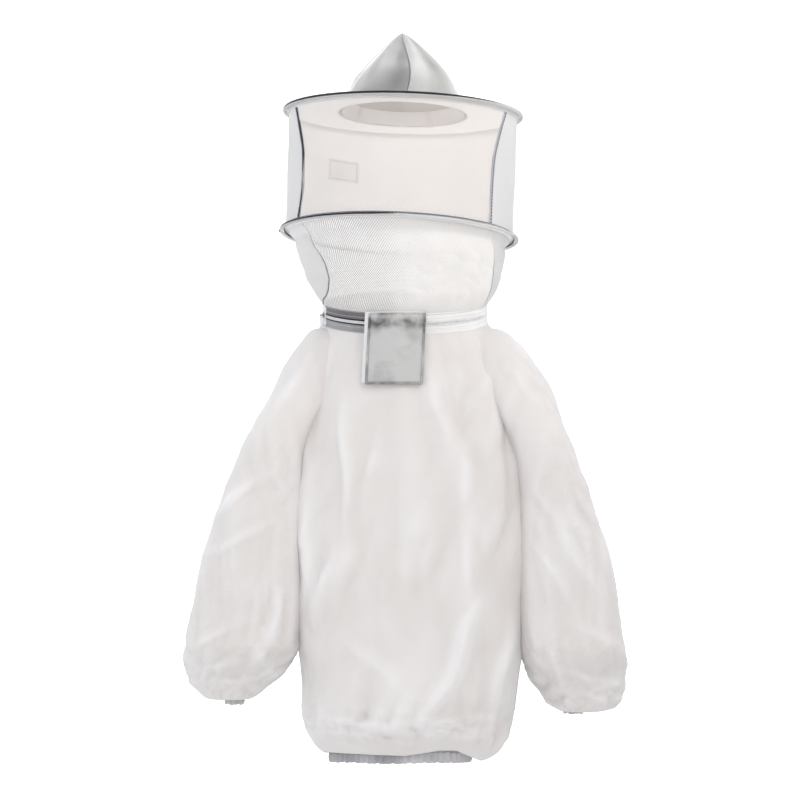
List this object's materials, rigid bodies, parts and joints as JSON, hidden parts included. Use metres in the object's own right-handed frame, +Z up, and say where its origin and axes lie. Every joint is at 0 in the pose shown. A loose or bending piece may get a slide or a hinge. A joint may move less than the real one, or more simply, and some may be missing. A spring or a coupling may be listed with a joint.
{
  "type": "beekeeping suit",
  "caption": "Pull-over beekeeping jacket with gathered hem and cuffs, and a zip-on round hat with a hooped net veil and a front flap.",
  "frame": {"origin": "centre of the bounding box at the lower edge of the hem", "axes": "+Z up from the hem to the hat, -Y the way the wearer faces, +X to the right in a front view"},
  "size_m": [0.7034, 0.3824, 1.1809],
  "materials": {
    "cotton": "matte woven cotton",
    "cuff_fabric": "matte gathered cotton",
    "binding": "matte folded tape",
    "hem_fabric": "matte gathered cotton",
    "elastic": "matte ribbed elastic",
    "net": "see-through knitted net",
    "veil_fabric": "sheer woven panel",
    "seam_tape": "matte bound seam",
    "label": "blank satin label",
    "hoop_piping_dark": "matte folded piping",
    "hoop_piping_grey": "matte folded piping",
    "hoop_wire": "drawn spring wire",
    "brim_fabric": "matte woven cotton",
    "crown_satin": "soft satin weave",
    "sweatband": "matte folded cotton",
    "zip_tape": "matte woven tape",
    "zip_teeth": "moulded",
    "zip_metal": "cast and plated",
    "pull_white": "moulded",
    "flap_satin": "soft satin weave",
    "flap_lining": "matte hook-and-loop"
  },
  "bodies": {
    "jacket": {"jacket_front": "cotton", "jacket_back": "cotton", "jacket_neck_binding": "binding", "zip_tape_lower": "zip_tape", "zip_teeth_lower": "zip_teeth", "zip_stop_start": "zip_teeth", "zip_stop_end": "zip_teeth", "loop_patch": "flap_lining", "hem_casing": "hem_fabric", "hem_elastic": "elastic"},
    "veil": {"lower_veil_front": "net", "lower_veil_back": "veil_fabric", "lower_hoop_channel": "hoop_piping_grey", "lower_hoop_wire": "hoop_wire", "veil_neck_binding": "binding", "zip_tape_upper": "zip_tape", "zip_teeth_upper": "zip_teeth", "veil_window_net": "net", "veil_back_panel": "veil_fabric", "veil_seam_left": "seam_tape", "veil_seam_right": "seam_tape", "care_label": "label"},
    "hat": {"upper_hoop_channel": "hoop_piping_dark", "upper_hoop_wire": "hoop_wire", "hat_brim": "brim_fabric", "crown_gore_front_left": "crown_satin", "crown_gore_front_right": "crown_satin", "crown_gore_back_left": "crown_satin", "crown_gore_back_right": "crown_satin", "sweatband": "sweatband", "head_tab_left": "sweatband", "head_tab_right": "sweatband"},
    "flap": {"flap_front": "flap_satin", "flap_backing": "flap_lining", "hook_patch": "flap_lining"},
    "slider": {"zip_slider": "zip_metal"},
    "pull": {"zip_pull": "pull_white"},
    "sleeve_left": {"sleeve_left": "cotton", "cuff_left_casing": "cuff_fabric", "cuff_left_elastic": "elastic"},
    "sleeve_right": {"sleeve_right": "cotton", "cuff_right_casing": "cuff_fabric", "cuff_right_elastic": "elastic"}
  },
  "joints": [
    {"name": "veil_tilt", "type": "hinge", "parent": "jacket", "child": "veil", "pos_m": [0, 0.13349, 0.75882], "axis": [-1, 0, 0], "range_deg": [0, 100]},
    {"name": "veil_collapse", "type": "slide", "parent": "veil", "child": "hat", "axis": [0, 0, -1], "range_m": [0, 0.16], "deforming": ["veil_window_net", "veil_back_panel", "veil_seam_left", "veil_seam_right", "care_label"]},
    {"name": "flap_lift", "type": "hinge", "parent": "veil", "child": "flap", "pos_m": [0, -0.13824, 0.718], "axis": [-1, 0, 0], "range_deg": [0, 110]},
    {"name": "slider_travel", "type": "hinge", "parent": "jacket", "child": "slider", "pos_m": [0, 0, 0.728], "axis": [0, -0.225, 0.9744], "range_deg": [-260, 48]},
    {"name": "pull_swing", "type": "hinge", "parent": "slider", "child": "pull", "pos_m": [-0.13479, -0.02792, 0.72155], "axis": [-0.2079, 0.9531, 0.22], "range_deg": [0, 110]},
    {"name": "sleeve_left_swing", "type": "hinge", "parent": "jacket", "child": "sleeve_left", "pos_m": [-0.15, 0, 0.6], "axis": [0, 1, 0], "range_deg": [0, 90]},
    {"name": "sleeve_right_swing", "type": "hinge", "parent": "jacket", "child": "sleeve_right", "pos_m": [0.15, 0, 0.6], "axis": [0, -1, 0], "range_deg": [0, 90]}
  ]
}
